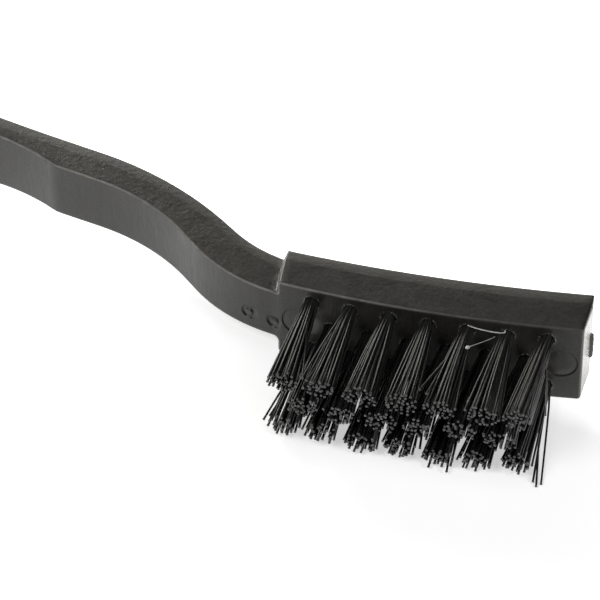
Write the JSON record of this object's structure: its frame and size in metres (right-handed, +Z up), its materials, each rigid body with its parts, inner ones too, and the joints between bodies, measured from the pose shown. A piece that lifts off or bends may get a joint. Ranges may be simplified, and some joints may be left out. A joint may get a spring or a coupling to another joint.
{
  "type": "groove brush",
  "caption": "Hand brush with a long S-necked plastic handle, a finger scoop and a narrow bowed head set with rows of black nylon tufts, for cleaning the grooves of a club face.",
  "frame": {"origin": "bottom centre of the brush's box, on the surface that it lies on with one side of the head and grip down", "axes": "+X along the grip towards the head's tip, -Y the way the bristles point, +Z up across the width"},
  "size_m": [0.176, 0.03, 0.0115],
  "materials": {
    "handle_plastic": "black moulded polypropylene with a fine satin texture",
    "bristle_nylon": "black nylon filaments, semi-gloss, with paler cut ends",
    "anchor_wire": "plain drawn flat wire"
  },
  "bodies": {
    "root": {"handle_body": "handle_plastic", "tuft_lower_1": "bristle_nylon", "tuft_lower_2": "bristle_nylon", "tuft_lower_3": "bristle_nylon", "tuft_lower_4": "bristle_nylon", "tuft_lower_5": "bristle_nylon", "tuft_lower_6": "bristle_nylon", "tuft_lower_7": "bristle_nylon", "tuft_middle_1": "bristle_nylon", "tuft_middle_2": "bristle_nylon", "tuft_middle_3": "bristle_nylon", "tuft_middle_4": "bristle_nylon", "tuft_middle_5": "bristle_nylon", "tuft_middle_6": "bristle_nylon", "tuft_upper_1": "bristle_nylon", "tuft_upper_2": "bristle_nylon", "tuft_upper_3": "bristle_nylon", "tuft_upper_4": "bristle_nylon", "tuft_upper_5": "bristle_nylon", "tuft_upper_6": "bristle_nylon", "tuft_upper_7": "bristle_nylon", "anchor_lower_1": "anchor_wire", "anchor_lower_2": "anchor_wire", "anchor_lower_3": "anchor_wire", "anchor_lower_4": "anchor_wire", "anchor_lower_5": "anchor_wire", "anchor_lower_6": "anchor_wire", "anchor_lower_7": "anchor_wire", "anchor_middle_1": "anchor_wire", "anchor_middle_2": "anchor_wire", "anchor_middle_3": "anchor_wire", "anchor_middle_4": "anchor_wire", "anchor_middle_5": "anchor_wire", "anchor_middle_6": "anchor_wire", "anchor_upper_1": "anchor_wire", "anchor_upper_2": "anchor_wire", "anchor_upper_3": "anchor_wire", "anchor_upper_4": "anchor_wire", "anchor_upper_5": "anchor_wire", "anchor_upper_6": "anchor_wire", "anchor_upper_7": "anchor_wire"}
  },
  "joints": []
}
